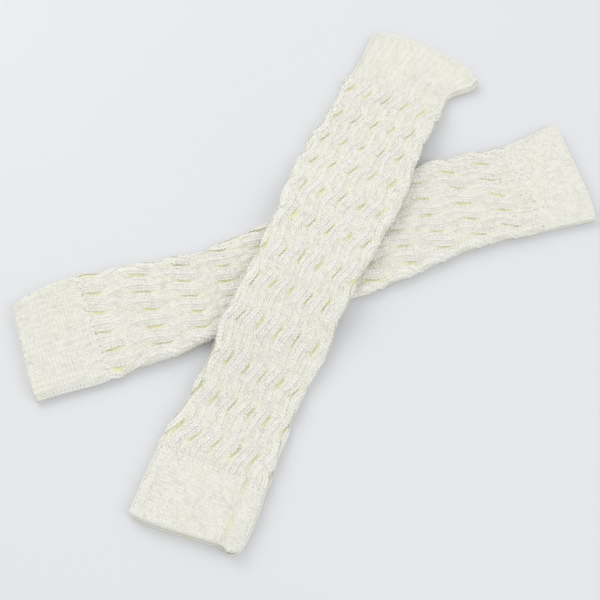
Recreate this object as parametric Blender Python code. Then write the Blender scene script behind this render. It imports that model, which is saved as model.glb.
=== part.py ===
"""A pair of cable-knit leg warmers, lying flat and crossed, one over the other.

Each leg warmer is an open knitted tube in three pieces: a cable body between two ribbed cuffs.
The tube lies flat, so its wall runs over the top, round two side folds and back underneath.
Rope cables and cuff ribs stand up from the outer face, the inner face is plain, and the side
that rests is flat. The upper leg warmer rises over the lower one where they cross.

Lengths are in metres. In a leg warmer's own frame X runs along it, Y to its left and Z up.
"""
import math

import bmesh
import bpy

MM = 0.001

# The knit
WALL = 3.0 * MM               # plain wall, and the wall at the bottom of a gutter between cables
CABLE_RISE = 3.4 * MM         # crown of a rope over its gutters
RIB_RISE = 1.2 * MM           # crown of a cuff rib over its grooves
CABLES_ROUND = 11             # rope cables round one tube
RIBS_PER_CABLE = 3            # cuff ribs that feed one cable
STRAND_SWING = 0.245          # how far a strand swings from the middle of its cable, in cables
STRAND_HALF_WIDTH = 0.31      # in cables
CROSSING_SPREAD = 0.11        # how much wider, to each side, a strand is where it crosses on top
STRAND_HASTE = 2.5            # 1 crosses all the way along; more crosses quickly, then runs straight
STRAND_FULLNESS = 0.65        # less keeps a strand high for longer between its dives
RIB_TO_CABLE = 4.5 * MM       # length in which the ribs turn into cables
SEAM_GAP = 0.3 * MM           # between a cuff and the body
RELIEF_FLOOR = -0.85          # upward part of the face's direction where the relief begins
RELIEF_FULL = 0.75            # and where it is full: it is less at the folds, and none underneath

# How the tubes lie
REST_GAP = 0.35 * MM          # between the lower tube's crowns and the upper tube
RAMP = 60.0 * MM              # width of the slope down from the crossing, square to the lower tube
RAMP_INSET = 5.0 * MM         # the slope starts this far inside the lower tube's edge
END_ROUNDING = 0.9 * MM       # the free edge of a cuff is rounded by this much

# Fineness of the faceted model
POINTS_PER_CABLE = 6          # round the relief
RINGS_PER_CROSSING = 6        # along the body
UNDERSIDE_STEP = 0.8          # in cables, where the wall is plain
INNER_POINTS = 14
INNER_STEP = 13.0 * MM
CUFF_STEP = 11.0 * MM
END_STEP = 1.2 * MM
FOLD_SHARE = 0.9              # share of each side fold that has the close points

KNIT_COLOUR = (0.83, 0.81, 0.73, 1.0)
KNIT_ROUGHNESS = 0.95

# One row a section, in millimetres: along the tube, its centre to the left, half its width
# without the relief, and its thickness without the relief. turn is how far the cables have
# turned round the tube to the left, in cables.
SECTION_COLUMNS = ("along", "left", "half_width", "thickness", "turn")
UPPER_SECTIONS = (
    (0, 1.2, 40.2, 8.4, -0.22),
    (28, 2.8, 41.2, 8.2, -0.22),
    (58, 4.8, 39.4, 7.4, -0.20),
    (81, 4.6, 36.4, 7.0, -0.13),
    (120, 5.6, 33.8, 7.0, 0.14),
    (150, 6.8, 36.8, 7.0, 0.28),
    (190, 6.8, 35.8, 7.0, 0.67),
    (246, 7.6, 38.2, 7.0, 1.22),
    (284, 8.8, 42.0, 7.0, 1.42),
    (306, 9.4, 41.6, 7.0, 1.51),
    (330, 10.4, 39.4, 7.0, 1.60),
    (354, 9.3, 37.6, 7.0, 1.71),
    (384, 9.0, 38.2, 7.0, 1.77),
    (400, 8.4, 38.0, 7.0, 1.78),
    (418, 2.0, 44.6, 7.2, 1.78),
    (428, 1.2, 45.6, 7.4, 1.78),
)
LOWER_SECTIONS = (
    (0, -1.6, 38.6, 7.8, -0.05),
    (24, 0.2, 41.6, 7.6, -0.05),
    (47, 0.1, 42.8, 7.2, -0.03),
    (71, -0.6, 39.4, 7.0, 0.20),
    (95, -2.1, 37.8, 7.0, 0.52),
    (124, -3.0, 34.3, 7.0, 0.60),
    (142, -3.4, 32.4, 7.0, 0.76),
    (190, -2.4, 36.6, 7.0, 1.00),
    (235, -1.9, 38.6, 7.0, 1.16),
    (285, 1.2, 38.8, 7.0, 1.28),
    (320, 4.6, 38.0, 7.0, 1.29),
    (356, 2.6, 36.6, 7.0, 1.34),
    (384, -0.6, 37.8, 7.0, 1.38),
    (429, -0.4, 42.8, 7.2, 1.38),
)

# Where the strands cross along each body, in millimetres
UPPER_CROSSINGS = (65, 96, 124, 157, 189, 216, 247, 274, 301, 324, 348, 373)
LOWER_CROSSINGS = (57, 94, 124, 153, 186, 219, 251, 283, 310, 338, 364)

# Each leg warmer: where its first end lies, its heading, its cuffs and how its two ends are cut.
# An end's slant is along over left; its bow is how far the middle stands out past the corners.
UPPER = {
    "name": "upper",
    "start": (-82.6 * MM, -197.5 * MM),
    "heading": math.radians(65.67),
    "sections": UPPER_SECTIONS,
    "crossings": UPPER_CROSSINGS,
    "pieces": (
        ("near_cuff", 0.0, 48 * MM),
        ("cable_body", 48 * MM, 384 * MM),
        ("far_cuff", 384 * MM, 428 * MM),
    ),
    "slants": (-0.12, 0.08),
    "bows": (3.0 * MM, 10.0 * MM),
    "roll": {
        "left": -26 * MM,
        "groove": 2.0 * MM,
        "rise": 1.6 * MM,
        "length": 66 * MM,
        "fade": 20 * MM,
        "groove_width": 2.4 * MM,
        "crest": -34 * MM,
        "crest_width": 5.0 * MM,
        "overhang": 5.0 * MM,
    },
}
LOWER = {
    "name": "lower",
    "start": (-202.4 * MM, -61.6 * MM),
    "heading": math.radians(20.29),
    "sections": LOWER_SECTIONS,
    "crossings": LOWER_CROSSINGS,
    "pieces": (
        ("left_cuff", 0.0, 52 * MM),
        ("cable_body", 52 * MM, 384 * MM),
        ("right_cuff", 384 * MM, 429 * MM),
    ),
    "slants": (0.08, 0.05),
    "bows": (1.5 * MM, 3.0 * MM),
    "roll": None,
}


def smooth(value):
    """0 below 0, 1 above 1 and an easy curve between."""
    value = min(1.0, max(0.0, value))
    return value * value * (3.0 - 2.0 * value)


def section(tube, along):
    """The section of a tube at one place along it, on a smooth curve through the table's rows."""
    rows = tube["sections"]
    along_mm = min(max(along / MM, rows[0][0]), rows[-1][0])
    last = len(rows) - 2
    i = min(last, max(k for k, row in enumerate(rows) if row[0] <= along_mm))
    before, low, high, after = rows[max(i - 1, 0)], rows[i], rows[i + 1], rows[min(i + 2, last + 1)]
    span = high[0] - low[0]
    t = (along_mm - low[0]) / span
    found = {}
    for column in range(1, len(SECTION_COLUMNS)):
        slope_low = (high[column] - before[column]) / (high[0] - before[0]) * span
        slope_high = (after[column] - low[column]) / (after[0] - low[0]) * span
        found[SECTION_COLUMNS[column]] = (
            (2 * t**3 - 3 * t**2 + 1) * low[column]
            + (t**3 - 2 * t**2 + t) * slope_low
            + (3 * t**2 - 2 * t**3) * high[column]
            + (t**3 - t**2) * slope_high
        )
    for column in ("left", "half_width", "thickness"):
        found[column] *= MM
    return found


def phase(tube, along):
    """Counts the crossings along a body: a whole number at each one, even outside them."""
    rows = tube["crossings"]
    i = min(len(rows) - 2, max([0] + [k for k, row in enumerate(rows) if row * MM <= along]))
    return i + (along / MM - rows[i]) / (rows[i + 1] - rows[i])


def along_at(tube, count):
    """The place along a body where phase() gives this count."""
    rows = tube["crossings"]
    i = min(len(rows) - 2, max(0, math.floor(count)))
    return (rows[i] + (count - i) * (rows[i + 1] - rows[i])) * MM


def flat_loop(around, half_width, thickness):
    """A point and its outward direction on a loop with straight sides and round folds.

    around is in cables from the middle of the top, to the left and on underneath.
    """
    radius = thickness / 2
    straight = half_width - radius
    perimeter = 4 * straight + 2 * math.pi * radius
    travelled = around / CABLES_ROUND * perimeter
    side = math.copysign(1.0, travelled)
    travelled = abs(travelled)
    if travelled <= straight:
        return side * travelled, thickness, 0.0, 1.0
    if travelled <= straight + math.pi * radius:
        angle = (travelled - straight) / radius
        left, up = math.sin(angle), math.cos(angle)
        return side * (straight + radius * left), radius * (1 + up), side * left, up
    return side * (2 * straight + math.pi * radius - travelled), 0.0, 0.0, -1.0


def cable(across, count):
    """Height of a rope cable, 0 to 1, at a place across it (-0.5 to 0.5) and a phase along it.

    The strands cross one over the other, always towards the right as they run on, and each
    dives under the next. Strands of neighbouring cables press against each other.
    """
    height = 0.0
    for strand in (math.floor(count), math.floor(count) + 1):
        beyond = count - strand
        middle = -STRAND_SWING * math.sin(math.pi / 2 * max(-1.0, min(1.0, STRAND_HASTE * beyond)))
        half_width = STRAND_HALF_WIDTH + CROSSING_SPREAD * smooth(1.0 - 2.0 * abs(beyond))
        crown = max(0.0, math.cos(math.pi / 2 * beyond)) ** STRAND_FULLNESS
        for neighbour in (-1.0, 0.0, 1.0):
            bulge = 1.0 - ((across - neighbour - middle) / half_width) ** 2
            height = max(height, crown * math.sqrt(max(0.0, bulge)))
    return height


def rib(lattice):
    """Height of the cuff ribs, 0 to 1."""
    return math.sqrt(0.5 - 0.5 * math.cos(2 * math.pi * RIBS_PER_CABLE * lattice))


def relief(tube, along, lattice):
    """How far the outer face stands out at a place along the tube and round its cables."""
    first_body, last_body = tube["pieces"][1][1:]
    cabled = smooth((along - first_body) / RIB_TO_CABLE) * smooth((last_body - along) / RIB_TO_CABLE)
    ribs = RIB_RISE * rib(lattice)
    if cabled == 0.0:
        return ribs
    ropes = CABLE_RISE * cable(lattice - math.floor(lattice) - 0.5, phase(tube, along))
    return ribs + (ropes - ribs) * cabled


def lift_over_lower(x, y):
    """How far the upper leg warmer is lifted at a place in its own frame."""
    turn = UPPER["heading"] - LOWER["heading"]
    shift_x = UPPER["start"][0] - LOWER["start"][0]
    shift_y = UPPER["start"][1] - LOWER["start"][1]
    cos_low, sin_low = math.cos(LOWER["heading"]), math.sin(LOWER["heading"])
    along = shift_x * cos_low + shift_y * sin_low + x * math.cos(turn) - y * math.sin(turn)
    left = -shift_x * sin_low + shift_y * cos_low + x * math.sin(turn) + y * math.cos(turn)
    under = section(LOWER, along)
    outside = abs(left - under["left"]) - under["half_width"]
    full = under["thickness"] + CABLE_RISE + REST_GAP
    return full * (1.0 - smooth((outside + RAMP_INSET) / RAMP))


def roll_crest(roll, left):
    """1 along the middle of a rolled edge, and less to each side of it."""
    return math.exp(-(((left - roll["crest"]) / roll["crest_width"]) ** 2))


def end_shift(tube, along, left, half_width):
    """How far the slanted, bowed cut of a cuff's free end moves a point along the tube."""
    shift = 0.0
    roll = tube["roll"]
    if roll:
        shift -= roll["overhang"] * smooth(1.0 - along / roll["length"]) * roll_crest(roll, left)
    for end, (piece, sign) in enumerate(((tube["pieces"][0], -1.0), (tube["pieces"][2], 1.0))):
        length = piece[2] - piece[1]
        inside = along - piece[1] if end == 0 else piece[2] - along
        weight = max(0.0, 1.0 - inside / length) ** 2
        across = max(-1.0, min(1.0, left / half_width))
        shift += weight * (tube["slants"][end] * left + sign * tube["bows"][end] * (0.5 - across**4))
    return shift


def rolled_edge(tube, along, left):
    """The lengthwise groove and roll along one side of a cuff, as a rise of its top."""
    roll = tube["roll"]
    if roll is None:
        return 0.0
    near = smooth((roll["length"] - along) / roll["fade"])
    groove = math.exp(-(((left - roll["left"]) / roll["groove_width"]) ** 2))
    return near * (roll["rise"] * roll_crest(roll, left) - roll["groove"] * groove)


def placed(tube, along, left, up, found):
    """A section's point in the tube's frame."""
    x = along + end_shift(tube, along, left, found["half_width"])
    y = found["left"] + left
    if tube is UPPER:
        up += lift_over_lower(x, y)
    return x, y, up


def outer_ring(tube, along, rounding):
    """One ring of the outer face: (place round the cables, point) pairs, with the relief on it."""
    found = section(tube, along)
    half_width, thickness = found["half_width"], found["thickness"]
    straight = half_width - thickness / 2
    perimeter = 4 * straight + math.pi * thickness
    edge = (straight + FOLD_SHARE * math.pi * thickness / 2) / perimeter * CABLES_ROUND
    offset = 0.5 - found["turn"]
    first = math.ceil((offset - edge) * POINTS_PER_CABLE)
    last = math.floor((offset + edge) * POINTS_PER_CABLE)
    places = [k / POINTS_PER_CABLE - offset for k in range(first, last + 1)]
    under = CABLES_ROUND - (places[-1] - places[0])
    steps = round(under / UNDERSIDE_STEP)
    places += [places[-1] + under * k / steps for k in range(1, steps)]
    ring = []
    for around in places:
        wrapped = around - CABLES_ROUND if around > CABLES_ROUND / 2 else around
        left, up, out_left, out_up = flat_loop(wrapped, half_width, thickness)
        lattice = around + offset
        shown = smooth((out_up - RELIEF_FLOOR) / (RELIEF_FULL - RELIEF_FLOOR))
        rise = (relief(tube, along, lattice) - rounding) * shown
        up += rise * out_up + smooth(out_up) * rolled_edge(tube, along, left)
        ring.append((lattice, placed(tube, along, left + rise * out_left, max(up, 0.0), found)))
    return ring


def inner_ring(tube, along):
    """One ring of the plain inner face."""
    found = section(tube, along)
    ring = []
    for k in range(INNER_POINTS):
        around = CABLES_ROUND * ((k + 0.5) / INNER_POINTS - 0.5)
        left, up, _, _ = flat_loop(around, found["half_width"] - WALL, found["thickness"] - 2 * WALL)
        lattice = around + 0.5 - found["turn"]
        ring.append((lattice, placed(tube, along, left, up + WALL, found)))
    return ring


def stitch(mesh, ring_a, ring_b):
    """Fills between two closed rings whose points may be unlike, in step round the cables.

    The faces look outwards where ring_b lies further along, and inwards where it lies nearer.
    """
    def from_zero(ring):
        turned = sorted((lattice % CABLES_ROUND, vertex) for lattice, vertex in ring)
        return turned + [(turned[0][0] + CABLES_ROUND, turned[0][1])]
    a, b = from_zero(ring_a), from_zero(ring_b)
    i = j = 0
    while i < len(a) - 1 or j < len(b) - 1:
        if j == len(b) - 1 or (i < len(a) - 1 and a[i + 1][0] <= b[j + 1][0] + 1e-6):
            mesh.faces.new((a[i][1], b[j][1], a[i + 1][1]))
            i += 1
        else:
            mesh.faces.new((a[i][1], b[j][1], b[j + 1][1]))
            j += 1


def spaced(first, last, step):
    """Evenly spaced places from first to last, no further apart than step."""
    count = max(1, math.ceil((last - first) / step - 1e-6))
    return [first + (last - first) * k / count for k in range(count + 1)]


def body_places(tube, first, last):
    """Places of the rings along a body, in step with the crossings."""
    start = math.ceil(phase(tube, first + 2 * MM) * RINGS_PER_CROSSING)
    stop = math.floor(phase(tube, last - 2 * MM) * RINGS_PER_CROSSING)
    middle = [along_at(tube, k / RINGS_PER_CROSSING) for k in range(start, stop + 1)]
    return [first] + middle + [last]


def tube_wall(tube, index):
    """The closed wall of one piece of a tube, cut short at its seams."""
    _, first, last = tube["pieces"][index]
    first += SEAM_GAP / 2 if index > 0 else 0.0
    last -= SEAM_GAP / 2 if index < 2 else 0.0
    if index == 1:
        outer_places = body_places(tube, first, last)
    elif index == 0:
        outer_places = [first] + spaced(first + END_STEP, last, CUFF_STEP)
    else:
        outer_places = spaced(first, last - END_STEP, CUFF_STEP) + [last]
    free_end = {0: first, 1: None, 2: last}[index]
    mesh = bmesh.new()

    def vertices(ring):
        return [(lattice, mesh.verts.new(point)) for lattice, point in ring]

    outer = [vertices(outer_ring(tube, a, END_ROUNDING if a == free_end else 0.0)) for a in outer_places]
    inner = [vertices(inner_ring(tube, a)) for a in spaced(first, last, INNER_STEP)]
    for ring, further_ring in zip(outer, outer[1:]):
        stitch(mesh, ring, further_ring)
    for ring, further_ring in zip(inner, inner[1:]):
        stitch(mesh, further_ring, ring)
    stitch(mesh, inner[0], outer[0])
    stitch(mesh, outer[-1], inner[-1])
    return mesh


def knit_material(name):
    """The matt ivory knit."""
    material = bpy.data.materials.new(name)
    material.use_nodes = True
    shader = material.node_tree.nodes["Principled BSDF"]
    shader.inputs["Base Color"].default_value = KNIT_COLOUR
    shader.inputs["Roughness"].default_value = KNIT_ROUGHNESS
    shader.inputs["Metallic"].default_value = 0.0
    return material


def leg_warmer(tube, collection):
    """Builds the three pieces of one leg warmer on an empty at its first end."""
    carrier = bpy.data.objects.new(tube["name"] + "_leg_warmer", None)
    carrier.location = (*tube["start"], 0.0)
    carrier.rotation_euler = (0.0, 0.0, tube["heading"])
    collection.objects.link(carrier)
    for index, (piece, _, _) in enumerate(tube["pieces"]):
        name = f"{tube['name']}_{piece}"
        wall = tube_wall(tube, index)
        mesh = bpy.data.meshes.new(name)
        wall.to_mesh(mesh)
        wall.free()
        mesh.shade_smooth()
        mesh.materials.append(knit_material(name))
        part = bpy.data.objects.new(name, mesh)
        part.parent = carrier
        collection.objects.link(part)


def main():
    for old in list(bpy.data.objects):
        bpy.data.objects.remove(old)
    collection = bpy.data.collections.new("leg_warmers")
    bpy.context.scene.collection.children.link(collection)
    leg_warmer(LOWER, collection)
    leg_warmer(UPPER, collection)


main()
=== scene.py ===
"""A pair of cable-knit leg warmers in ivory yarn, lying flat and crossed, one over the other.

In a leg warmer's own frame, along runs from its first end to its second, left is to its left,
and around counts cables round the tube from the middle of its top, to the left and underneath.
"""
import math

import bpy
import numpy as np
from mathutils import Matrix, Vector


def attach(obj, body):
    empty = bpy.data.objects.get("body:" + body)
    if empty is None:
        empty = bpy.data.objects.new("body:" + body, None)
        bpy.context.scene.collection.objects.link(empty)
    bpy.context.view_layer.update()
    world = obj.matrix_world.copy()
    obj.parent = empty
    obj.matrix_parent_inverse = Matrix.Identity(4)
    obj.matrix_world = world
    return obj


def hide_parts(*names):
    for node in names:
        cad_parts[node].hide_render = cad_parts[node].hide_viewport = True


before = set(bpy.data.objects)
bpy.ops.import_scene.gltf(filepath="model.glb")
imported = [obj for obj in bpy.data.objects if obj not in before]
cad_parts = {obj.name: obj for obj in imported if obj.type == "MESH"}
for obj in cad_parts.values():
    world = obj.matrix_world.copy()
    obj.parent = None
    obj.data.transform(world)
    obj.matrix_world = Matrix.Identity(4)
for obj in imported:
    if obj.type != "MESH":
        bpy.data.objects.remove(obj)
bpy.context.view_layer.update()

# ---- The cloth of the two tubes ---------------------------------------------------------------
# Each leg warmer is knitted round in thick brushed ivory yarn: a ribbed cuff, a body of eleven
# rope cables and a second cuff. It lies flat, so its wall has two layers, folded at each side.
# These closed walls are the ground of the knit. The stitches below stand on them.
MM = 0.001
WALL = 3.0 * MM
CABLE_RISE = 3.4 * MM
RIB_RISE = 1.2 * MM
CABLES_ROUND = 11
RIBS_PER_CABLE = 3
STRAND_SWING = 0.245            # of a strand from the middle of its cable, in cables
STRAND_HALF_WIDTH = 0.31        # in cables
CROSSING_SPREAD = 0.135         # a strand is this much wider to each side where it crosses on top
STRAND_HASTE = 2.5              # 1 would cross all the way along; 2.5 crosses, then runs straight
STRAND_FULLNESS = 0.65          # under 1, the strand keeps its height for longer to each side
RIB_TO_CABLE = 4.5 * MM         # the change from rib to cable at each end of a body
GUTTER_FLOOR = 0.15             # of the full rise, at the bottom of the slits beside a crossing
SEAM_GAP = 0.3 * MM             # between a cuff and the body
RELIEF_FLOOR = -0.85            # upward part of the face's direction where the relief begins
RELIEF_FULL = 0.75              # and where it is full: less at the folds, and none underneath
REST_GAP = 0.35 * MM            # between the lower tube's crowns and the upper tube
RAMP = 60.0 * MM                # the upper tube climbs over this length to each side of the lower
RAMP_INSET = 5.0 * MM           # and is fully up this far in from the lower tube's edge
END_ROUNDING = 0.9 * MM         # of the wall's outer corner at a free end
STITCH_DEPTH = 0.3 * MM         # the wall lies this far below the form that the stitches make
# How uneven the strands are: their crossings (in crossings), their courses (in cables), and their
# height and spread (shares of them)
CROSSING_UNEVEN = 0.05
COURSE_UNEVEN = 0.02
CROWN_UNEVEN = 0.08
SPREAD_UNEVEN = 0.3
# The two slits painted as shade in the groove beside the upper leg warmer's rolled edge
FIRST_SLIT = 14.0 * MM
SLIT_PITCH = 36.0 * MM

# A section: along, left, half width, thickness (millimetres), how far the cables have turned (cables).
# A crease: along, left, half its length, half its width (millimetres), its slant from along the
# tube to the left (degrees) and how far it stands up or lies in (millimetres).
UPPER = {
    "name": "upper",
    "start": (-82.6 * MM, -197.5 * MM),
    "heading": math.radians(65.67),
    "sections": (
        (0, 1.2, 40.2, 8.4, -0.22),
        (28, 2.8, 41.2, 8.2, -0.22),
        (58, 4.8, 39.4, 7.4, -0.20),
        (81, 4.6, 36.4, 7.0, -0.13),
        (120, 5.6, 33.8, 7.0, 0.14),
        (150, 6.8, 36.8, 7.0, 0.28),
        (190, 6.8, 35.8, 7.0, 0.67),
        (246, 7.6, 38.2, 7.0, 1.22),
        (284, 8.8, 42.0, 7.0, 1.42),
        (306, 9.4, 41.6, 7.0, 1.51),
        (330, 10.4, 39.4, 7.0, 1.60),
        (354, 9.3, 37.6, 7.0, 1.71),
        (384, 9.0, 38.2, 7.0, 1.77),
        (400, 8.4, 38.0, 7.0, 1.78),
        (418, 2.0, 44.6, 7.2, 1.78),
        (428, 1.2, 45.6, 7.4, 1.78),
    ),
    "crossings": (65, 96, 124, 157, 189, 216, 247, 274, 301, 324, 348, 373),
    "pieces": (
        ("near_cuff", 0.0, 48 * MM),
        ("cable_body", 48 * MM, 384 * MM),
        ("far_cuff", 384 * MM, 428 * MM),
    ),
    "slants": (-0.12, 0.08),
    "bows": (3.0 * MM, 10.0 * MM),
    "rib_shares": (0.3, 0.9),       # depth of the grooves between the ribs of each cuff, of RIB_RISE
    "creases": (
        (24, 32, 15, 1.4, -2, -1.0),
        (50, 27, 13, 1.4, 10, -0.9),
        (30, -4, 22, 7, 68, -0.5),
        (44, 22, 26, 6, 52, -0.6),
        (76, -20, 20, 6, 24, 0.5),
        (104, 10, 30, 9, 8, -0.6),
        (140, -22, 34, 7, -10, -0.7),
        (172, 18, 40, 8, 12, 0.6),
        (214, -12, 46, 9, -6, -0.6),
        (262, 14, 44, 10, 10, -0.5),
        (318, -16, 40, 9, -14, 0.5),
        (352, 12, 30, 8, 16, -0.6),
        (392, -20, 18, 6, 20, -0.8),
        (398, 14, 20, 5, -16, -0.6),
        (408, -2, 18, 5, 4, 0.5),
    ),
    "roll": {
        "left": -26 * MM,
        "groove": 2.0 * MM,
        "rise": 1.6 * MM,
        "length": 66 * MM,
        "fade": 20 * MM,
        "groove_width": 2.4 * MM,
        "crest": -34 * MM,
        "crest_width": 5.0 * MM,
        "overhang": 5.0 * MM,
    },
}
LOWER = {
    "name": "lower",
    "start": (-202.4 * MM, -61.6 * MM),
    "heading": math.radians(20.29),
    "sections": (
        (0, -1.6, 38.6, 7.8, -0.05),
        (24, 0.2, 41.6, 7.6, -0.05),
        (47, 0.1, 42.8, 7.2, -0.03),
        (71, -0.6, 39.4, 7.0, 0.20),
        (95, -2.1, 37.8, 7.0, 0.52),
        (124, -3.0, 34.3, 7.0, 0.60),
        (142, -3.4, 32.4, 7.0, 0.76),
        (190, -2.4, 36.6, 7.0, 1.00),
        (235, -1.9, 38.6, 7.0, 1.16),
        (285, 1.2, 38.8, 7.0, 1.28),
        (320, 4.6, 38.0, 7.0, 1.29),
        (356, 2.6, 36.6, 7.0, 1.34),
        (384, -0.6, 37.8, 7.0, 1.38),
        (429, -0.4, 42.8, 7.2, 1.38),
    ),
    "crossings": (57, 94, 124, 153, 186, 219, 251, 283, 310, 338, 364),
    "pieces": (
        ("left_cuff", 0.0, 52 * MM),
        ("cable_body", 52 * MM, 384 * MM),
        ("right_cuff", 384 * MM, 429 * MM),
    ),
    "slants": (0.08, 0.05),
    "bows": (1.5 * MM, 3.0 * MM),
    "rib_shares": (0.7, 0.5),
    "creases": (
        (22, 18, 20, 6, 12, -0.5),
        (40, -24, 22, 6, -8, 0.5),
        (62, -8, 22, 7, 30, -0.6),
        (92, 14, 34, 8, -12, 0.5),
        (128, -10, 32, 7, 10, -0.6),
        (150, 20, 24, 6, 40, -0.9),
        (262, -22, 24, 6, -38, -0.9),
        (300, 16, 36, 9, 12, -0.5),
        (330, -14, 36, 8, -10, 0.5),
        (372, 8, 26, 8, 24, -0.5),
        (404, -18, 22, 6, 6, -0.5),
    ),
    "roll": None,
}


def smooth(value):
    """0 below 0, 1 above 1 and an easy curve between."""
    value = np.clip(value, 0.0, 1.0)
    return value * value * (3.0 - 2.0 * value)


def section(tube, along):
    """Centre, half width, thickness and turn of a tube, on a smooth curve through its rows."""
    rows = np.array(tube["sections"], float)
    spots = rows[:, 0] * MM
    along = np.clip(along, spots[0], spots[-1])
    low = np.clip(np.searchsorted(spots, along, side="right") - 1, 0, len(rows) - 2)
    high, before, after = low + 1, np.maximum(low - 1, 0), np.minimum(low + 2, len(rows) - 1)
    span = spots[high] - spots[low]
    t = (along - spots[low]) / span
    found = []
    for column, unit in zip(rows.T[1:], (MM, MM, MM, 1.0)):
        leaving = (column[high] - column[before]) / (spots[high] - spots[before]) * span
        reaching = (column[after] - column[low]) / (spots[after] - spots[low]) * span
        value = (
            (2 * t**3 - 3 * t**2 + 1) * column[low]
            + (t**3 - 2 * t**2 + t) * leaving
            + (3 * t**2 - 2 * t**3) * column[high]
            + (t**3 - t**2) * reaching
        )
        found.append(value * unit)
    return found


def phase(tube, along):
    """Counts the strands' crossings along a body: a whole number at each one."""
    rows = np.array(tube["crossings"]) * MM
    i = np.clip(np.searchsorted(rows, along, side="right") - 1, 0, len(rows) - 2)
    return i + (along - rows[i]) / (rows[i + 1] - rows[i])


def girth_of(half_width, thickness):
    """The way once round a loop with straight sides and round folds."""
    return 4 * half_width + (math.pi - 2) * thickness


def flat_loop(around, half_width, thickness):
    """Left, up and the outward direction on a loop with straight sides and round folds."""
    radius = thickness / 2
    straight = half_width - radius
    around = (around + CABLES_ROUND / 2) % CABLES_ROUND - CABLES_ROUND / 2
    travelled = np.abs(around) / CABLES_ROUND * (4 * straight + 2 * math.pi * radius)
    side = np.sign(around)
    angle = np.clip((travelled - straight) / radius, 0.0, math.pi)
    under = np.maximum(travelled - straight - math.pi * radius, 0.0)
    left = side * (np.minimum(travelled, straight) + radius * np.sin(angle) - under)
    return left, radius * (1 + np.cos(angle)), side * np.sin(angle), np.cos(angle)


def lift_over_lower(x, y):
    """How far the upper leg warmer is lifted by the lower one, at places in its own frame."""
    turn = UPPER["heading"] - LOWER["heading"]
    shift_x = UPPER["start"][0] - LOWER["start"][0]
    shift_y = UPPER["start"][1] - LOWER["start"][1]
    cos_low, sin_low = math.cos(LOWER["heading"]), math.sin(LOWER["heading"])
    along = shift_x * cos_low + shift_y * sin_low + x * math.cos(turn) - y * math.sin(turn)
    left = -shift_x * sin_low + shift_y * cos_low + x * math.sin(turn) + y * math.cos(turn)
    centre, half_width, thickness, _ = section(LOWER, along)
    outside = np.abs(left - centre) - half_width
    full = thickness + CABLE_RISE + REST_GAP
    return full * (1.0 - smooth((outside + RAMP_INSET) / RAMP))


def roll_crest(roll, left):
    """1 along the middle of a rolled edge, and less to each side of it."""
    return np.exp(-(((left - roll["crest"]) / roll["crest_width"]) ** 2))


def end_shift(tube, along, left, half_width):
    """How far the slanted, bowed cut of a free end moves a place along the tube."""
    shift = 0.0 * (along + left)
    roll = tube["roll"]
    if roll:
        shift = shift - roll["overhang"] * smooth(1.0 - along / roll["length"]) * roll_crest(roll, left)
    for end, (piece, sign) in enumerate(((tube["pieces"][0], -1.0), (tube["pieces"][2], 1.0))):
        inside = along - piece[1] if end == 0 else piece[2] - along
        weight = np.maximum(0.0, 1.0 - inside / (piece[2] - piece[1])) ** 2
        across = np.clip(left / half_width, -1.0, 1.0)
        bow = sign * tube["bows"][end] * (0.5 - across**4)
        shift = shift + weight * (tube["slants"][end] * left + bow)
    return shift


def groove(tube, along, left):
    """1 in the middle of the lengthwise groove beside a cuff's rolled edge, and 0 away from it."""
    roll = tube["roll"]
    if roll is None:
        return 0.0 * (along + left)
    near = smooth((roll["length"] - along) / roll["fade"])
    return near * np.exp(-(((left - roll["left"]) / roll["groove_width"]) ** 2))


def rolled_edge(tube, along, left):
    """The lengthwise groove and roll along one side of a cuff, as a rise of its top."""
    roll = tube["roll"]
    if roll is None:
        return 0.0
    near = smooth((roll["length"] - along) / roll["fade"])
    return near * roll["rise"] * roll_crest(roll, left) - roll["groove"] * groove(tube, along, left)


def creased(tube, along, left):
    """The soft creases in the upper layer, as a rise of its top."""
    rise = 0.0 * (along + left)
    for at_along, at_left, half_length, half_width, slant, height in tube["creases"]:
        ahead, aside = along / MM - at_along, left / MM - at_left
        cos, sin = math.cos(math.radians(slant)), math.sin(math.radians(slant))
        run, off = ahead * cos + aside * sin, aside * cos - ahead * sin
        rise = rise + height * MM * np.exp(-((run / half_length) ** 2) - (off / half_width) ** 2)
    return rise


def lay(tube, along, around, rise, inset=0.0):
    """World places on a tube: along and round it, inset into its wall and out by rise."""
    centre, half_width, thickness, _ = section(tube, along)
    left, up, out_left, out_up = flat_loop(around, half_width - inset, thickness - 2 * inset)
    up = up + inset + rise * out_up
    bent = rolled_edge(tube, along, left) + creased(tube, along, left)
    up = np.maximum(up + smooth(out_up) * (1.0 - inset / WALL) * bent, 0.0)
    left = left + rise * out_left
    x = along + end_shift(tube, along, left, half_width)
    y = centre + left
    if tube is UPPER:
        up = up + lift_over_lower(x, y)
    cos, sin = math.cos(tube["heading"]), math.sin(tube["heading"])
    east = tube["start"][0] + x * cos - y * sin
    north = tube["start"][1] + x * sin + y * cos
    return np.stack(np.broadcast_arrays(east, north, up), axis=-1)


def facing_up(tube, along, around):
    """The upward part of the outward direction: 1 on the top, 0 at a fold, -1 underneath."""
    _, half_width, thickness, _ = section(tube, along)
    return flat_loop(around, half_width, thickness)[3]


def groove_slit_shade(tube, along, around):
    """How far a place is in one of the two slits of painted shade where the groove beside the roll is
    deepest.
    """
    _, half_width, thickness, _ = section(tube, along)
    left, _, _, up = flat_loop(around, half_width, thickness)
    slits = 0.5 + 0.5 * np.cos(2 * math.pi * (along - FIRST_SLIT) / SLIT_PITCH)
    return slits * groove(tube, along, left) ** 3 * smooth(up)


def showing(tube, along, around):
    """1 where the relief is whole, and 0 on the flat underside."""
    return smooth((facing_up(tube, along, around) - RELIEF_FLOOR) / (RELIEF_FULL - RELIEF_FLOOR))


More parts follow.
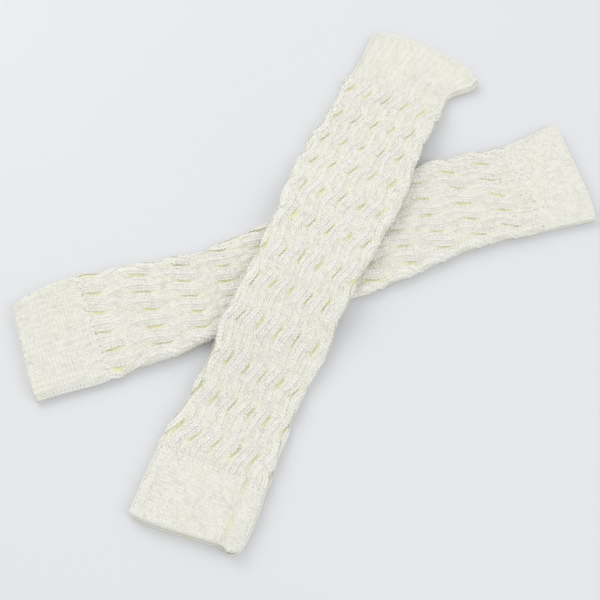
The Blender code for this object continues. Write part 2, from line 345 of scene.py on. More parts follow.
def cabled(tube, along):
    """0 in the cuffs and 1 in the body, with a short change between."""
    first, last = tube["pieces"][1][1:]
    return smooth((along - first) / RIB_TO_CABLE) * smooth((last - along) / RIB_TO_CABLE)


def rib(lattice):
    """Height of the cuff ribs, 0 to 1."""
    return np.abs(np.sin(math.pi * RIBS_PER_CABLE * lattice))


def wander(number, along, length):
    """A slow uneven wave, -1 to 1, that differs from strand to strand."""
    waves = along / length
    return 0.6 * np.sin(2 * math.pi * (waves + 0.37 * number)) + 0.4 * np.sin(
        2 * math.pi * (2.3 * waves + 0.73 * number)
    )


def strand_course(tube, cable, strand, along):
    """Sideways place, half width, crown and distance from its own crossing of one strand."""
    number = 2 * np.mod(cable, CABLES_ROUND) + strand
    count = phase(tube, along) + CROSSING_UNEVEN * wander(number // 2, along, 110 * MM)
    own = 2.0 * np.round((count - strand) / 2.0) + strand
    beyond = count - own
    dive = beyond - np.sign(beyond)
    over = -np.sin(math.pi / 2 * np.clip(STRAND_HASTE * beyond, -1, 1))
    below = np.sin(math.pi / 2 * np.clip(STRAND_HASTE * dive, -1, 1))
    sideways = STRAND_SWING * np.where(np.abs(beyond) <= 0.5, over, below)
    sideways = sideways + COURSE_UNEVEN * wander(number + 5, along, 70 * MM)
    top = np.maximum(np.cos(math.pi / 2 * beyond), 0.0)
    uneven_crown = 1.0 + CROWN_UNEVEN * wander(number + 9, along, 90 * MM)
    crown = CABLE_RISE * top**STRAND_FULLNESS * uneven_crown
    spread = CROSSING_SPREAD * (1.0 + SPREAD_UNEVEN * wander(number + 3, along, 52 * MM))
    half_width = STRAND_HALF_WIDTH + spread * smooth(1.0 - 2.0 * np.abs(beyond))
    crown = RIB_RISE + (crown - RIB_RISE) * cabled(tube, along)
    return sideways, half_width, crown, np.abs(beyond)


def ropes(tube, along, lattice):
    """Height of the rope cables over their gutters."""
    height = 0.0 * (along + lattice)
    for neighbour in (-1, 0, 1):
        cable = np.floor(lattice) + neighbour
        for strand in (0, 1):
            sideways, half_width, crown, _ = strand_course(tube, cable, strand, along)
            off = (lattice - cable - 0.5 - sideways) / half_width
            height = np.maximum(height, crown * np.sqrt(np.maximum(1.0 - off**2, 0.0)))
    return height


def ground(tube, along, around):
    """How far the ribs and cables stand out from the plain tube, and the share of the whole rise."""
    lattice = around + 0.5 - section(tube, along)[3]
    _, first, last = tube["pieces"][1]
    ribs = RIB_RISE * (1.0 - np.where(along < last, *tube["rib_shares"]) * (1.0 - rib(lattice)))
    in_body = (along > first) & (along < last)
    full = RIB_RISE + (CABLE_RISE - RIB_RISE) * cabled(tube, along)
    rise = np.where(in_body, np.maximum(ropes(tube, along, lattice), GUTTER_FLOOR * full), ribs)
    return rise, rise / full


def mesh_object(name, places, faces, material, maps=None, values=None):
    """An object from arrays: places, faces, a UV place for each corner, and point values."""
    mesh = bpy.data.meshes.new(name)
    mesh.vertices.add(len(places))
    mesh.vertices.foreach_set("co", np.asarray(places, np.float32).ravel())
    if len(faces):
        faces = np.asarray(faces, np.int32)
        mesh.loops.add(faces.size)
        mesh.loops.foreach_set("vertex_index", faces.ravel())
        mesh.polygons.add(len(faces))
        starts = np.arange(0, faces.size, faces.shape[1], dtype=np.int32)
        mesh.polygons.foreach_set("loop_start", starts)
    mesh.update(calc_edges=True)
    for title, corners in (maps or {}).items():
        mesh.uv_layers.new(name=title).uv.foreach_set("vector", np.asarray(corners, np.float32).ravel())
    for title, column in (values or {}).items():
        column = np.asarray(column, np.float32)
        wide = column.ndim == 2
        attribute = mesh.attributes.new(title, "FLOAT_VECTOR" if wide else "FLOAT", "POINT")
        attribute.data.foreach_set("vector" if wide else "value", column.ravel())
    if len(faces):
        mesh.shade_smooth()
    mesh.materials.append(material)
    made = bpy.data.objects.new(name, mesh)
    bpy.context.scene.collection.objects.link(made)
    return made


class Wire:
    """One socket of a node tree. Arithmetic on it adds Math nodes."""

    def __init__(self, tree, socket=None):
        self.tree = tree
        self.socket = socket

    def node(self, kind, settings=None, inputs=None, outlet=0):
        """Adds a node: its settings first, then the values or links of its inputs."""
        made = self.tree.nodes.new(kind)
        for name, value in (settings or {}).items():
            setattr(made, name, value)
        for key, value in (inputs or {}).items():
            if isinstance(value, Wire):
                self.tree.links.new(value.socket, made.inputs[key])
            else:
                made.inputs[key].default_value = value
        return Wire(self.tree, made.outputs[outlet])

    def maths(self, operation, first, second=0.0):
        return self.node("ShaderNodeMath", {"operation": operation}, {0: first, 1: second})

    def __add__(self, other):
        return self.maths("ADD", self, other)

    def __sub__(self, other):
        return self.maths("SUBTRACT", self, other)

    def __rsub__(self, other):
        return self.maths("SUBTRACT", other, self)

    def __mul__(self, other):
        return self.maths("MULTIPLY", self, other)

    __radd__ = __add__
    __rmul__ = __mul__

    def blend(self, first, second):
        """The colour this far from the first to the second."""
        return self.node("ShaderNodeMix", {"data_type": "RGBA"}, {0: self, 6: first, 7: second}, outlet=2)

    def plug(self, node, name):
        self.tree.links.new(self.socket, node.inputs[name])


# The yarn's own ivory, and the warmer, darker colour painted in as shade down in the hollows
YARN_CROWN = (0.955, 0.935, 0.855, 1.0)
YARN_PAINTED_SHADE = (0.955, 0.935, 0.540, 1.0)
YARN_MOTTLE = 0.3               # how far the yarn wanders between the two colours


def brushed_yarn(name, painted_shade_share):
    """Soft brushed yarn: its own ivory where it stands up, with warm painted shade in its colour down in
    the hollows.
    """
    material = bpy.data.materials.new(name)
    material.use_nodes = True
    shader = material.node_tree.nodes["Principled BSDF"]
    wire = Wire(material.node_tree)
    # painted shade that each point carries: 0 on the crowns, more down in the hollows; the noise is the
    # yarn's own random mottle
    depth = wire.node("ShaderNodeAttribute", {"attribute_name": "depth"}, outlet="Fac")
    place = wire.node("ShaderNodeTexCoord", outlet="Object")
    mottle = wire.node("ShaderNodeTexNoise", {}, {"Vector": place, "Scale": 55.0, "Detail": 3.0})
    shade = depth * painted_shade_share + (mottle - 0.5) * YARN_MOTTLE
    shade.blend(YARN_CROWN, YARN_PAINTED_SHADE).plug(shader, "Base Color")
    shader.inputs["Roughness"].default_value = 0.92
    shader.inputs["Sheen Weight"].default_value = 0.2
    shader.inputs["Sheen Roughness"].default_value = 0.5
    return material, shader, wire, place


ROW = 2.6 * MM                  # of stitches, along a tube
WALES_PER_CABLE = 6
ground_yarn, shader, wire, place = brushed_yarn("ground_yarn", 0.9)
run = wire.node("ShaderNodeAttribute", {"attribute_name": "run"}, outlet="Fac")
across = wire.node("ShaderNodeAttribute", {"attribute_name": "across"}, outlet="Fac")
wale = wire.maths("PINGPONG", across * WALES_PER_CABLE, 0.5)
chevron = wire.maths("SINE", (run * (MM / ROW) - wale * 1.1) * (2 * math.pi))
legs = wire.maths("SINE", wale * (2 * math.pi))
fuzz = wire.node("ShaderNodeTexNoise", {}, {"Vector": place, "Scale": 1800.0, "Detail": 3.0})
knitted = chevron * 0.35 + legs * 0.4 + fuzz * 0.5
bump = wire.node("ShaderNodeBump", {}, {"Strength": 0.8, "Distance": 0.4 * MM, "Height": knitted})
bump.plug(shader, "Normal")

POINTS_PER_CABLE = 15
UNDERSIDE_STEP = 0.4            # in cables
RELIEF_REACH = 3.35             # the relief ends within this many cables of the middle of the top
WALL_STEP = 2.0 * MM
ROUNDING_ROWS = np.array((0.25, 0.8)) * MM      # two more rows, this far in from a free edge
# How strongly shade is painted into the yarn's colour down in the hollows: between ribs, between strands,
# in the groove beside the rolled edge, and inside the tube
CUFF_PAINTED_SHADE = 0.2
BODY_PAINTED_SHADE = 1.3
GROOVE_PAINTED_SHADE = 0.6
INSIDE_PAINTED_SHADE = 0.3
# Where each part of a wall starts in its UV map, and how high it is there
OUTER_BAND = (0.0, 0.60)
INNER_BAND = (0.62, 0.28)
NEAR_RIM_BAND = (0.92, 0.03)
FAR_RIM_BAND = (0.96, 0.03)


def quads(rows, columns):
    """The faces between rings of points that close on themselves, and their UV cells."""
    row, column = np.meshgrid(np.arange(rows - 1), np.arange(columns), indexing="ij")
    after = (column + 1) % columns
    corners = (
        (row * columns + column, (row + 1) * columns + column),
        ((row + 1) * columns + after, row * columns + after),
    )
    faces = np.stack(corners[0] + corners[1], axis=-1).reshape(-1, 4)
    spots = ((column, row), (column, row + 1), (column + 1, row + 1), (column + 1, row))
    cells = np.stack([np.stack(spot, -1) for spot in spots], axis=-2).reshape(-1, 4, 2)
    return faces, cells / (columns, rows - 1)


def in_band(cells, band):
    """UV cells of the whole square, moved into a band of it."""
    return cells * (1.0, band[1]) + (0.0, band[0])


def wall(tube, index, material):
    """The closed wall of one piece: the fine outer face, the plain inner face and two rims."""
    piece, first, last = tube["pieces"][index]
    first += SEAM_GAP / 2 if index > 0 else 0.0
    last -= SEAM_GAP / 2 if index < 2 else 0.0
    along = np.linspace(first, last, round((last - first) / WALL_STEP) + 1)
    if index != 1:
        near_edge = first + ROUNDING_ROWS if index == 0 else last - ROUNDING_ROWS
        along = np.sort(np.append(along, near_edge))
    along = along[:, None]
    close = np.arange(-RELIEF_REACH, RELIEF_REACH, 1 / POINTS_PER_CABLE)
    plain = np.arange(RELIEF_REACH + 0.1, CABLES_ROUND - RELIEF_REACH - 0.1, UNDERSIDE_STEP)
    around = np.append(close, plain)[None, :] + 0.0 * along
    rise, share = ground(tube, along, around)
    shown = showing(tube, along, around)
    if index != 1:
        inside = along - first if index == 0 else last - along
        rise = rise - END_ROUNDING * (1.0 - smooth(inside / END_ROUNDING)) ** 2
    outer = lay(tube, along, around, (rise - STITCH_DEPTH) * shown)
    inner = lay(tube, along, around, 0.0 * around, inset=WALL)
    rows, columns = outer.shape[:2]
    faces, cells = quads(rows, columns)
    start = np.arange(columns)
    after = (start + 1) % columns
    near_rim = np.stack((start, after, rows * columns + after, rows * columns + start), -1)
    far_rim = near_rim[:, ::-1] + (rows - 1) * columns
    low, high = np.zeros(columns), np.ones(columns)
    rim_round = np.stack((start, start + 1, start + 1, start), -1) / columns
    rim_cells = np.stack((rim_round, np.stack((low, low, high, high), -1)), -1)
    maps = np.concatenate(
        (
            in_band(cells, OUTER_BAND),
            in_band(cells[:, ::-1], INNER_BAND),
            in_band(rim_cells, NEAR_RIM_BAND),
            in_band(rim_cells[:, ::-1], FAR_RIM_BAND),
        )
    )
    lattice = around + 0.5 - section(tube, along)[3]
    # painted shade: the hollows between ribs and strands, the groove's slits and the inside of the tube
    # are painted warmer and darker
    on_top = smooth(2.0 * facing_up(tube, along, around))
    strongest_shade = CUFF_PAINTED_SHADE + (BODY_PAINTED_SHADE - CUFF_PAINTED_SHADE) * cabled(tube, along)
    wall_shade = on_top * strongest_shade * (1.0 - share) ** 2
    wall_shade = wall_shade + GROOVE_PAINTED_SHADE * groove_slit_shade(tube, along, around)
    values = {
        "depth": np.append(wall_shade.ravel(), np.full(rows * columns, INSIDE_PAINTED_SHADE)),
        "across": np.tile(lattice.ravel(), 2),
        "run": np.tile((along / MM + 0 * around).ravel(), 2),
    }
    return mesh_object(
        f"{tube['name']}_{piece}_cloth",
        np.concatenate((outer.reshape(-1, 3), inner.reshape(-1, 3))),
        np.concatenate((faces, faces[:, ::-1] + rows * columns, near_rim, far_rim)),
        material,
        {"OFBake": maps},
        values,
    )


def knit_slot(piece):
    """The record's material slot of a stretch of the tube."""
    return "cable_knit" if piece == "cable_body" else "rib_knit"


for tube in (LOWER, UPPER):
    for index, (piece, _, _) in enumerate(tube["pieces"]):
        cloth = wall(tube, index, ground_yarn)
        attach(cloth, "root")
        knit_slot(piece)
        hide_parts(f"{tube['name']}_{piece}")


# ---- The stitches -----------------------------------------------------------------------------
# A knit stitch is a V of two legs of plump two-ply yarn, each V standing in the one below it.
# A rope strand is three stitches wide and a cuff rib two. Stitches run without a break from the
# cuffs into the cables, and follow the strands over and under each other.
STITCH_WIDTH = 3.3 * MM         # of the pattern stitch below, which each place then resizes
YARN_SIDES = 4
# across, along and out from the middle of a stitch, and the yarn's half thickness, millimetres
LEG_COURSE = (
    (0.22, -1.95, -0.40, 0.00),
    (0.46, -0.95, -0.02, 0.84),
    (0.84, 0.25, 0.04, 1.08),
    (1.24, 1.40, -0.04, 0.88),
    (1.44, 2.25, -0.40, 0.00),
)
YARN_FLATNESS = 0.27            # a leg's thickness over its width


def spindle(course, sides, mirrored=False):
    """A closed plump strand along a course: its places, its triangles and their UVs."""
    course = np.array(course)
    middle, radius = course[:, :3].copy(), course[:, 3]
    if mirrored:
        middle[:, 0] *= -1
    ahead = np.gradient(middle, axis=0)
    ahead /= np.linalg.norm(ahead, axis=1)[:, None]
    beside = np.cross(ahead, (0.0, 0.0, 1.0))
    beside /= np.linalg.norm(beside, axis=1)[:, None]
    out = np.cross(beside, ahead)
    angle = 2 * math.pi * (np.arange(sides) + 0.5) / sides
    places = [middle[0]]
    for k in range(1, len(course) - 1):
        for a in angle:
            side = math.cos(a) * beside[k] + YARN_FLATNESS * math.sin(a) * out[k]
            places.append(middle[k] + radius[k] * side)
    places.append(middle[-1])
    triangles, spots = [], []
    rings = len(course) - 2
    steps = len(course) - 1
    for i in range(sides):
        j = (i + 1) % sides
        u, v = i / sides, (i + 1) / sides
        triangles.append((0, 1 + j, 1 + i))
        spots.append(((u + v) / 2, 0, v, 1 / steps, u, 1 / steps))
        for k in range(rings - 1):
            a, b = 1 + k * sides + i, 1 + k * sides + j
            low, high = (k + 1) / steps, (k + 2) / steps
            triangles += [(a, b, b + sides), (a, b + sides, a + sides)]
            spots += [(u, low, v, low, v, high), (u, low, v, high, u, high)]
        top = 1 + (rings - 1) * sides
        triangles.append((top + i, top + j, len(places) - 1))
        spots.append((u, 1 - 1 / steps, v, 1 - 1 / steps, (u + v) / 2, 1))
    return np.array(places) * MM, np.array(triangles), np.array(spots).reshape(-1, 3, 2)


def pattern(name, strands, sides):
    """The object that one tree sets at each place. Its UV maps: yarn, along each strand of it,
    and OFBake, in which each strand has its own part of a square."""
    places, triangles, yarn, square, count = [], [], [], [], 0
    for number, (course, mirrored) in enumerate(strands):
        spots, faces, spot_uv = spindle(course, sides, mirrored)
        places.append(spots)
        triangles.append(faces + count)
        yarn.append(spot_uv)
        square.append((spot_uv * (0.92, 0.92) + (0.04, 0.04) + (number, 0.0)) / (len(strands), 1.0))
        count += len(spots)
    return mesh_object(
        name,
        np.concatenate(places),
        np.concatenate(triangles),
        None,
        {"yarn": np.concatenate(yarn), "OFBake": np.concatenate(square)},
    )


def pattern_tree():
    """Geometry nodes that set a pattern at every point, turned and sized by the point's values."""
    tree = bpy.data.node_groups.new("set_at_places", "GeometryNodeTree")
    for name, kind in (
        ("Places", "NodeSocketGeometry"),
        ("Pattern", "NodeSocketObject"),
        ("Uneven turn", "NodeSocketFloat"),
        ("Uneven size", "NodeSocketFloat"),
        ("Cell", "NodeSocketFloat"),
        ("Seed", "NodeSocketInt"),
        ("Yarn", "NodeSocketMaterial"),
    ):
        tree.interface.new_socket(name, in_out="INPUT", socket_type=kind)
    tree.interface.new_socket("Knit", in_out="OUTPUT", socket_type="NodeSocketGeometry")
    entry = tree.nodes.new("NodeGroupInput")
    given = {socket.name: Wire(tree, socket) for socket in entry.outputs}
    wire = Wire(tree)

    def named(title):
        return wire.node("GeometryNodeInputNamedAttribute", {"data_type": "FLOAT_VECTOR"}, {"Name": title})

    def uneven(amount, seed_step):
        return wire.node(
            "FunctionNodeRandomValue",
            {"data_type": "FLOAT_VECTOR"},
            {
                0: wire.node("ShaderNodeVectorMath", {"operation": "SCALE"}, {0: (-1, -1, -1), 3: amount}),
                1: wire.node("ShaderNodeVectorMath", {"operation": "SCALE"}, {0: (1, 1, 1), 3: amount}),
                "Seed": given["Seed"] + seed_step,
            },
        )

    turn = wire.node(
        "FunctionNodeRotateRotation",
        {"rotation_space": "LOCAL"},
        {
            0: wire.node("FunctionNodeEulerToRotation", {}, {0: named("turn")}),
            1: wire.node("FunctionNodeEulerToRotation", {}, {0: uneven(given["Uneven turn"], 0)}),
        },
    )
    size = wire.node(
        "ShaderNodeVectorMath",
        {"operation": "MULTIPLY_ADD"},
        {0: named("size"), 1: uneven(given["Uneven size"], 1), 2: named("size")},
    )
    shape = wire.node("GeometryNodeObjectInfo", {}, {"Object": given["Pattern"]}, outlet="Geometry")
    set_out = wire.node(
        "GeometryNodeInstanceOnPoints",
        {},
        {"Points": given["Places"], "Instance": shape, "Rotation": turn, "Scale": size},
    )
    real = wire.node("GeometryNodeRealizeInstances", {}, {"Geometry": set_out})
    cell_size = wire.node("ShaderNodeCombineXYZ", {}, {0: given["Cell"], 1: given["Cell"]})
    cell = wire.node(
        "ShaderNodeVectorMath",
        {"operation": "MULTIPLY_ADD"},
        {0: named("OFBake"), 1: cell_size, 2: named("cell")},
    )
    mapped = wire.node(
        "GeometryNodeStoreNamedAttribute",
        {"data_type": "FLOAT2", "domain": "CORNER"},
        {"Geometry": real, "Name": "OFBake", "Value": cell},
    )
    done = wire.node("GeometryNodeSetMaterial", {}, {"Geometry": mapped, "Material": given["Yarn"]})
    done.plug(tree.nodes.new("NodeGroupOutput"), "Knit")
    return tree


set_at_places = pattern_tree()


def plain_mesh(maker, tree, inputs):
    """Runs a tree on an object, and returns the result as a plain mesh in the same object."""
    modifier = maker.modifiers.new("nodes", "NODES")
    modifier.node_group = tree
    for item in tree.interface.items_tree:
        if item.name in inputs:
            modifier[item.identifier] = inputs[item.name]
    evaluated = maker.evaluated_get(bpy.context.evaluated_depsgraph_get())
    mesh = bpy.data.meshes.new_from_object(evaluated)
    mesh.name = maker.name
    maker.modifiers.remove(modifier)
    maker.data = mesh
    return maker


def turns(across, along):
    """Euler angles of frames whose X runs across and whose Y runs along."""
    out = np.cross(across, along)
    out /= np.linalg.norm(out, axis=-1)[..., None]
    along = along / np.linalg.norm(along, axis=-1)[..., None]
    across = np.cross(along, out)
    return np.stack(
        (
            np.arctan2(along[..., 2], out[..., 2]),
            -np.arcsin(np.clip(across[..., 2], -1, 1)),
            np.arctan2(across[..., 1], across[..., 0]),
        ),
        axis=-1,
    )


def knit(name, batches, pattern_object, material, seed, uneven):
    """One piece of stitches or of fluff: the pattern set at every place of all the batches, and
    pressed flat where it would reach below the surface that it rests on."""
    places, turn, size, depth = (np.concatenate(column) for column in zip(*batches))
    side = math.ceil(math.sqrt(len(places)))
    number = np.arange(len(places))
    cell = np.stack((number % side, number // side, 0 * number), -1) / side
    values = {"turn": turn, "size": size, "cell": cell, "depth": depth}
    maker = mesh_object(name, places, [], material, None, values)
    inputs = {
        "Pattern": pattern_object,
        "Uneven turn": uneven[0],
        "Uneven size": uneven[1],
        "Cell": 1.0 / side,
        "Seed": seed,
        "Yarn": material,
    }
    made = plain_mesh(maker, set_at_places, inputs)
    spots = np.empty(3 * len(made.data.vertices), np.float32)
    made.data.vertices.foreach_get("co", spots)
    spots[2::3] = np.maximum(spots[2::3], 0.0)
    made.data.vertices.foreach_set("co", spots)
    return made


LONGEST = 1.3                   # a stitch is pulled out to no more than this, where a strand dives
WIDEST = 4.4 * MM
STITCH_UNEVEN = (0.045, 0.04)   # in turn (radians) and in size (share of it)
STITCH_SEED = 11
# How far to each side of a stitch its directions are taken: along, and round in radians or cables
STRAND_PROBES = (0.4 * MM, 0.05)
RIB_PROBES = (0.4 * MM, 0.02)


def batch(at, spots, sides, steps, widths, keep, depth):
    """Places, turns, sizes and painted shade of stitches on the face that at() gives."""
    spot_step, side_step = steps
    ahead = at(spots + spot_step, sides) - at(spots - spot_step, sides)
    leftward = at(spots, sides + side_step) - at(spots, sides - side_step)
    length = np.minimum(np.linalg.norm(ahead, axis=-1) / (2 * spot_step), LONGEST)
    square_to_it = np.linalg.norm(np.cross(leftward, ahead), axis=-1) / np.linalg.norm(ahead, axis=-1)
    width = np.minimum(square_to_it / (2 * side_step) * widths, WIDEST)
    height = 0.5 + 0.5 * width / STITCH_WIDTH
    size = np.stack((width / STITCH_WIDTH, length, height), -1)
    keep = np.broadcast_to(keep, width.shape)
    depth = np.broadcast_to(depth, width.shape)
    return at(spots, sides)[keep], turns(-leftward, ahead)[keep], size[keep], depth[keep]


WALES = np.radians((-46.0, 0.0, 46.0))
WALE_SPAN = math.radians(44.0)
HIDDEN_BEYOND = 0.86            # past this a strand is under the other one
STITCHED = -0.25                # the stitches end where the folds turn in under the tube
# How strongly shade is painted into a stitch's colour: where its strand dives under the other, at
# its strand's sides, and on a rib
DIVE_PAINTED_SHADE = 0.22
SIDE_PAINTED_SHADE = 0.05
RIB_PAINTED_SHADE = 0.08


def strand_stitches(tube):
    """The stitches of every strand of a body that shows on the top or at the folds. The first
    and last row lie over the seams to the cuffs."""
    _, first, last = tube["pieces"][1]
    rows = np.linspace(first, last, round((last - first) / ROW) + 1)[:, None]
    batches = []
    for cable in range(-6, 6):
        for strand in (0, 1):
            def at(along, angle, cable=cable, strand=strand):
                sideways, half_width, crown, _ = strand_course(tube, cable, strand, along)
                turn = section(tube, along)[3]
                around = cable + turn + sideways + half_width * np.sin(angle)
                height = crown * np.cos(angle) - STITCH_DEPTH
                return lay(tube, along, around, height * showing(tube, along, around))

            sideways, half_width, _, beyond = strand_course(tube, cable, strand, rows)
            around = cable + section(tube, rows)[3] + sideways + half_width * np.sin(WALES)
            keep = (beyond < HIDDEN_BEYOND) & (facing_up(tube, rows, around) > STITCHED)
            keep &= np.abs(around) < RELIEF_REACH
            # painted shade, strongest where the strand dives under the other one
            depth = DIVE_PAINTED_SHADE * beyond**2 + SIDE_PAINTED_SHADE * np.abs(np.sin(WALES))
            if keep.any():
                spots, sides = np.broadcast_arrays(rows, WALES)
                batches.append(batch(at, spots, sides, STRAND_PROBES, WALE_SPAN, keep, depth))
    return batches


RIB_WALES = (-0.083, 0.083)     # in cables from the rib's crown
RIB_WALE_SPAN = 0.168
EDGE_RADIUS = 1.7 * MM          # of the rounding that the bound-off stitches make
EDGE_STITCH = 2.9 * MM          # from one bound-off stitch to the next
EDGE_WALES = np.radians((20.0, 62.0, 104.0))
EDGE_WALE_SPAN = math.radians(44.0)


def rib_stitches(tube, index):
    """The stitches of the cuff ribs that show on the top or at the folds."""
    _, first, last = tube["pieces"][index]
    rows = np.linspace(first, last, round((last - first) / ROW) + 1)[:, None]
    rows = rows[:-1] if index == 0 else rows[1:]
    rows = np.clip(rows, EDGE_RADIUS, tube["pieces"][2][2] - EDGE_RADIUS)

    def at(along, around):
        rise, _ = ground(tube, along, around)
        return lay(tube, along, around, (rise - STITCH_DEPTH) * showing(tube, along, around))

    turn = section(tube, rows)[3]
    crowns = (np.arange(-20, 21)[None, :] + 0.5) / RIBS_PER_CABLE
    batches = []
    for wale in RIB_WALES:
        around = crowns - 0.5 + turn + wale
        keep = (facing_up(tube, rows, around) > STITCHED) & (np.abs(around) < RELIEF_REACH)
        # a little painted shade on every rib stitch, more in the groove's painted slits
        depth = RIB_PAINTED_SHADE + GROOVE_PAINTED_SHADE * groove_slit_shade(tube, rows, around)
        spots = rows + 0 * around
        batches.append(batch(at, spots, around, RIB_PROBES, RIB_WALE_SPAN, keep, depth))
    return batches + [edge_stitches(tube, index)]


def edge_stitches(tube, index):
    """The chain of bound-off stitches that rounds the free edge of a cuff, on both layers."""
    _, first, last = tube["pieces"][index]
    edge, inward = (first, 1.0) if index == 0 else (last, -1.0)
    _, half_width, thickness, _ = section(tube, edge)
    cable_width = float(girth_of(half_width, thickness)) / CABLES_ROUND

    def at(travelled, side):
        angle = inward * side
        around = travelled / cable_width
        along = edge + inward * EDGE_RADIUS * (1.0 - np.sin(angle))
        rise = ground(tube, along, around)[0] * showing(tube, along, around)
        return lay(tube, along, around, rise - EDGE_RADIUS * (1.0 - np.cos(angle)))

    girth = CABLES_ROUND * cable_width
    travelled = np.linspace(-girth / 2, girth / 2, round(girth / EDGE_STITCH), endpoint=False)
    spots, sides = np.meshgrid(travelled, inward * EDGE_WALES, indexing="ij")
    return batch(at, spots, sides, STRAND_PROBES, EDGE_WALE_SPAN, True, 0.0)


stitch_yarn, shader, wire, place = brushed_yarn("stitch_yarn", 0.75)
yarn_map = wire.node("ShaderNodeUVMap", {"uv_map": "yarn"})
split = wire.node("ShaderNodeSeparateXYZ", {}, {0: yarn_map}, outlet="X")
along_yarn = wire.node("ShaderNodeSeparateXYZ", {}, {0: yarn_map}, outlet="Y")
plies = wire.maths("SINE", (split * 2.0 + along_yarn * 3.0) * (2 * math.pi))
fuzz = wire.node("ShaderNodeTexNoise", {}, {"Vector": place, "Scale": 2400.0, "Detail": 3.0})
fluffy = plies * 0.25 + fuzz * 0.9
bump = wire.node("ShaderNodeBump", {}, {"Strength": 0.15, "Distance": 0.2 * MM, "Height": fluffy})
bump.plug(shader, "Normal")

knit_stitch = pattern("knit_stitch", ((LEG_COURSE, False), (LEG_COURSE, True)), YARN_SIDES)
for tube in (LOWER, UPPER):
    for index, (piece, _, _) in enumerate(tube["pieces"]):
        batches = strand_stitches(tube) if index == 1 else rib_stitches(tube, index)
        name = f"{tube['name']}_{piece}_stitches"
        made = knit(name, batches, knit_stitch, stitch_yarn, STITCH_SEED + index, STITCH_UNEVEN)
        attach(made, "root")
        knit_slot(piece)
bpy.data.objects.remove(knit_stitch)

# ---- The fluff --------------------------------------------------------------------------------
# The yarn is brushed, so short fine fibres curl out of it all over and soften the stitches. Each
# is one thin curved hair with its ends down in the yarn, lying any way round.
FIBRES_PER_MM = 28.5            # of a tube's length
FIBRE_SIZES = (0.9, 1.7)        # of the course below, least and most
FIBRE_LIE = 0.7                 # how high a fibre arches, as a share of its size
FIBRE_SIDES = 3
FIBRE_MARGIN = 0.8 * MM         # from the ends of a stretch
FIBRE_PROBES = (0.6 * MM, 0.05)     # along, and round in cables
FIBRE_UNEVEN = (0.4, 0.25)      # in turn (radians) and in size (share of it)
FIBRE_SEED = 31                 # for where the fibres lie
CURL_SEED = 41                  # for how unevenly they are turned and sized
# across, along and out from the middle of a fibre, and its half thickness, millimetres
FIBRE_COURSE = (
    (0.00, -1.55, -0.45, 0.000),
    (0.16, -0.55, 0.34, 0.075),
    (0.10, 0.60, 0.46, 0.065),
    (-0.35, 1.60, -0.20, 0.000),
)


def fibres_of(tube, index, seed):
    """Where the fibres of one piece lie, which way round, and how large each one is."""
    _, first, last = tube["pieces"][index]
    chance = np.random.default_rng(seed)
    count = round((last - first) / MM * FIBRES_PER_MM)
    along = chance.uniform(first + FIBRE_MARGIN, last - FIBRE_MARGIN, count)
    around = chance.uniform(-RELIEF_REACH, RELIEF_REACH, count)
    heading = chance.uniform(-math.pi, math.pi, count)
    size = chance.uniform(*FIBRE_SIZES, count)[:, None]

    def at(along, around):
        return lay(tube, along, around, ground(tube, along, around)[0] * showing(tube, along, around))

    step, turn_step = FIBRE_PROBES
    ahead = at(along + step, around) - at(along - step, around)
    right = at(along, around - turn_step) - at(along, around + turn_step)
    ahead /= np.linalg.norm(ahead, axis=-1)[:, None]
    right /= np.linalg.norm(right, axis=-1)[:, None]
    cos, sin = np.cos(heading)[:, None], np.sin(heading)[:, None]
    turn = turns(right * cos + ahead * sin, ahead * cos - right * sin)
    keep = facing_up(tube, along, around) > STITCHED
    return at(along, around)[keep], turn[keep], (size * (1.0, 1.0, FIBRE_LIE))[keep], 0.0 * along[keep]


GIRTH_PLACES = 9


def cut_of(tube, index):
    """The mean girth and the length of one stretch of a tube, as it would lie opened out."""
    _, first, last = tube["pieces"][index]
    _, half_width, thickness, _ = section(tube, np.linspace(first, last, GIRTH_PLACES))
    girth = float(np.mean(girth_of(half_width, thickness)))
    return round(girth, 3), round(last - first, 3)


fibre = pattern("fibre", ((FIBRE_COURSE, False),), FIBRE_SIDES)
for number, tube in enumerate((LOWER, UPPER)):
    for index, (piece, _, _) in enumerate(tube["pieces"]):
        name = f"{tube['name']}_{piece}_fluff"
        batches = [fibres_of(tube, index, FIBRE_SEED + 3 * number + index)]
        fluff = knit(name, batches, fibre, stitch_yarn, CURL_SEED + index, FIBRE_UNEVEN)
        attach(fluff, "root")
        knit_slot(piece)
        over_the_other = tube is UPPER and piece == "cable_body"
        cut_of(tube, index)
bpy.data.objects.remove(fibre)

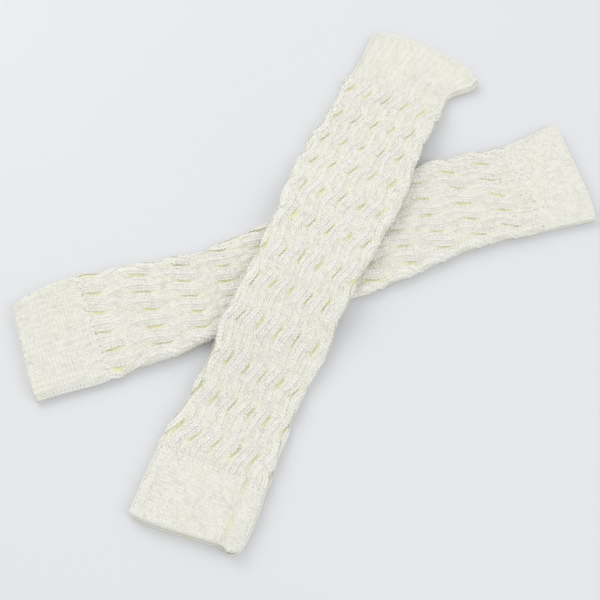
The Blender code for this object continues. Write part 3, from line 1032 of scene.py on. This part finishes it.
# ---- The surface, the light and the view ------------------------------------------------------
# A plain pale board in soft light from a wide window at the upper left, looked down on from in
# front, 63 degrees above it, through a long lens.
bpy.ops.mesh.primitive_grid_add(x_subdivisions=8, y_subdivisions=8, size=6.0)
board = bpy.context.object
board.name = "board"
board_paint = bpy.data.materials.new("pale_board")
board_paint.use_nodes = True
shader = board_paint.node_tree.nodes["Principled BSDF"]
wire = Wire(board_paint.node_tree)
place = wire.node("ShaderNodeTexCoord", outlet="Object")
cloudy = wire.node("ShaderNodeTexNoise", {}, {"Vector": place, "Scale": 2.5, "Detail": 2.0})
cloudy.blend((0.780, 0.780, 0.788, 1.0), (0.812, 0.810, 0.812, 1.0)).plug(shader, "Base Color")
shader.inputs["Roughness"].default_value = 0.8
board.data.materials.append(board_paint)

# name, metres across, watts, where it stands (metres) and its colour
LIGHTS = (
    ("window", 1.3, 7.5, (-0.80, 0.80, 1.15), (1.0, 0.98, 0.95)),
    ("fill", 1.4, 6.0, (1.1, -0.7, 1.3), (0.99, 0.985, 0.99)),
)
for name, size, watts, stand, colour in LIGHTS:
    lamp = bpy.data.lights.new(name, "AREA")
    lamp.shape = "DISK"
    lamp.size = size
    lamp.energy = watts
    lamp.color = colour
    light = bpy.data.objects.new(name, lamp)
    light.location = stand
    light.rotation_euler = (-Vector(stand)).to_track_quat("-Z", "Y").to_euler()
    bpy.context.scene.collection.objects.link(light)

room = bpy.data.worlds.new("room")
room.use_nodes = True
room.node_tree.nodes["Background"].inputs["Color"].default_value = (0.93, 0.96, 1.0, 1.0)
room.node_tree.nodes["Background"].inputs["Strength"].default_value = 0.76
bpy.context.scene.world = room

VIEW_ELEVATION = math.radians(63)
VIEW_DISTANCE = 1.15
VIEW_MIDDLE = (-6.4 * MM, -19.2 * MM)
view = bpy.data.cameras.new("view")
view.lens = 95.4
view.sensor_width = 36.0
view.clip_start = 0.05
camera = bpy.data.objects.new("camera", view)
camera.location = (
    VIEW_MIDDLE[0],
    VIEW_MIDDLE[1] - VIEW_DISTANCE * math.cos(VIEW_ELEVATION),
    VIEW_DISTANCE * math.sin(VIEW_ELEVATION),
)
camera.rotation_euler = (math.pi / 2 - VIEW_ELEVATION, 0.0, 0.0)
bpy.context.scene.collection.objects.link(camera)
bpy.context.scene.camera = camera
bpy.context.scene.view_settings.view_transform = "Standard"
bpy.context.scene.view_settings.look = "None"
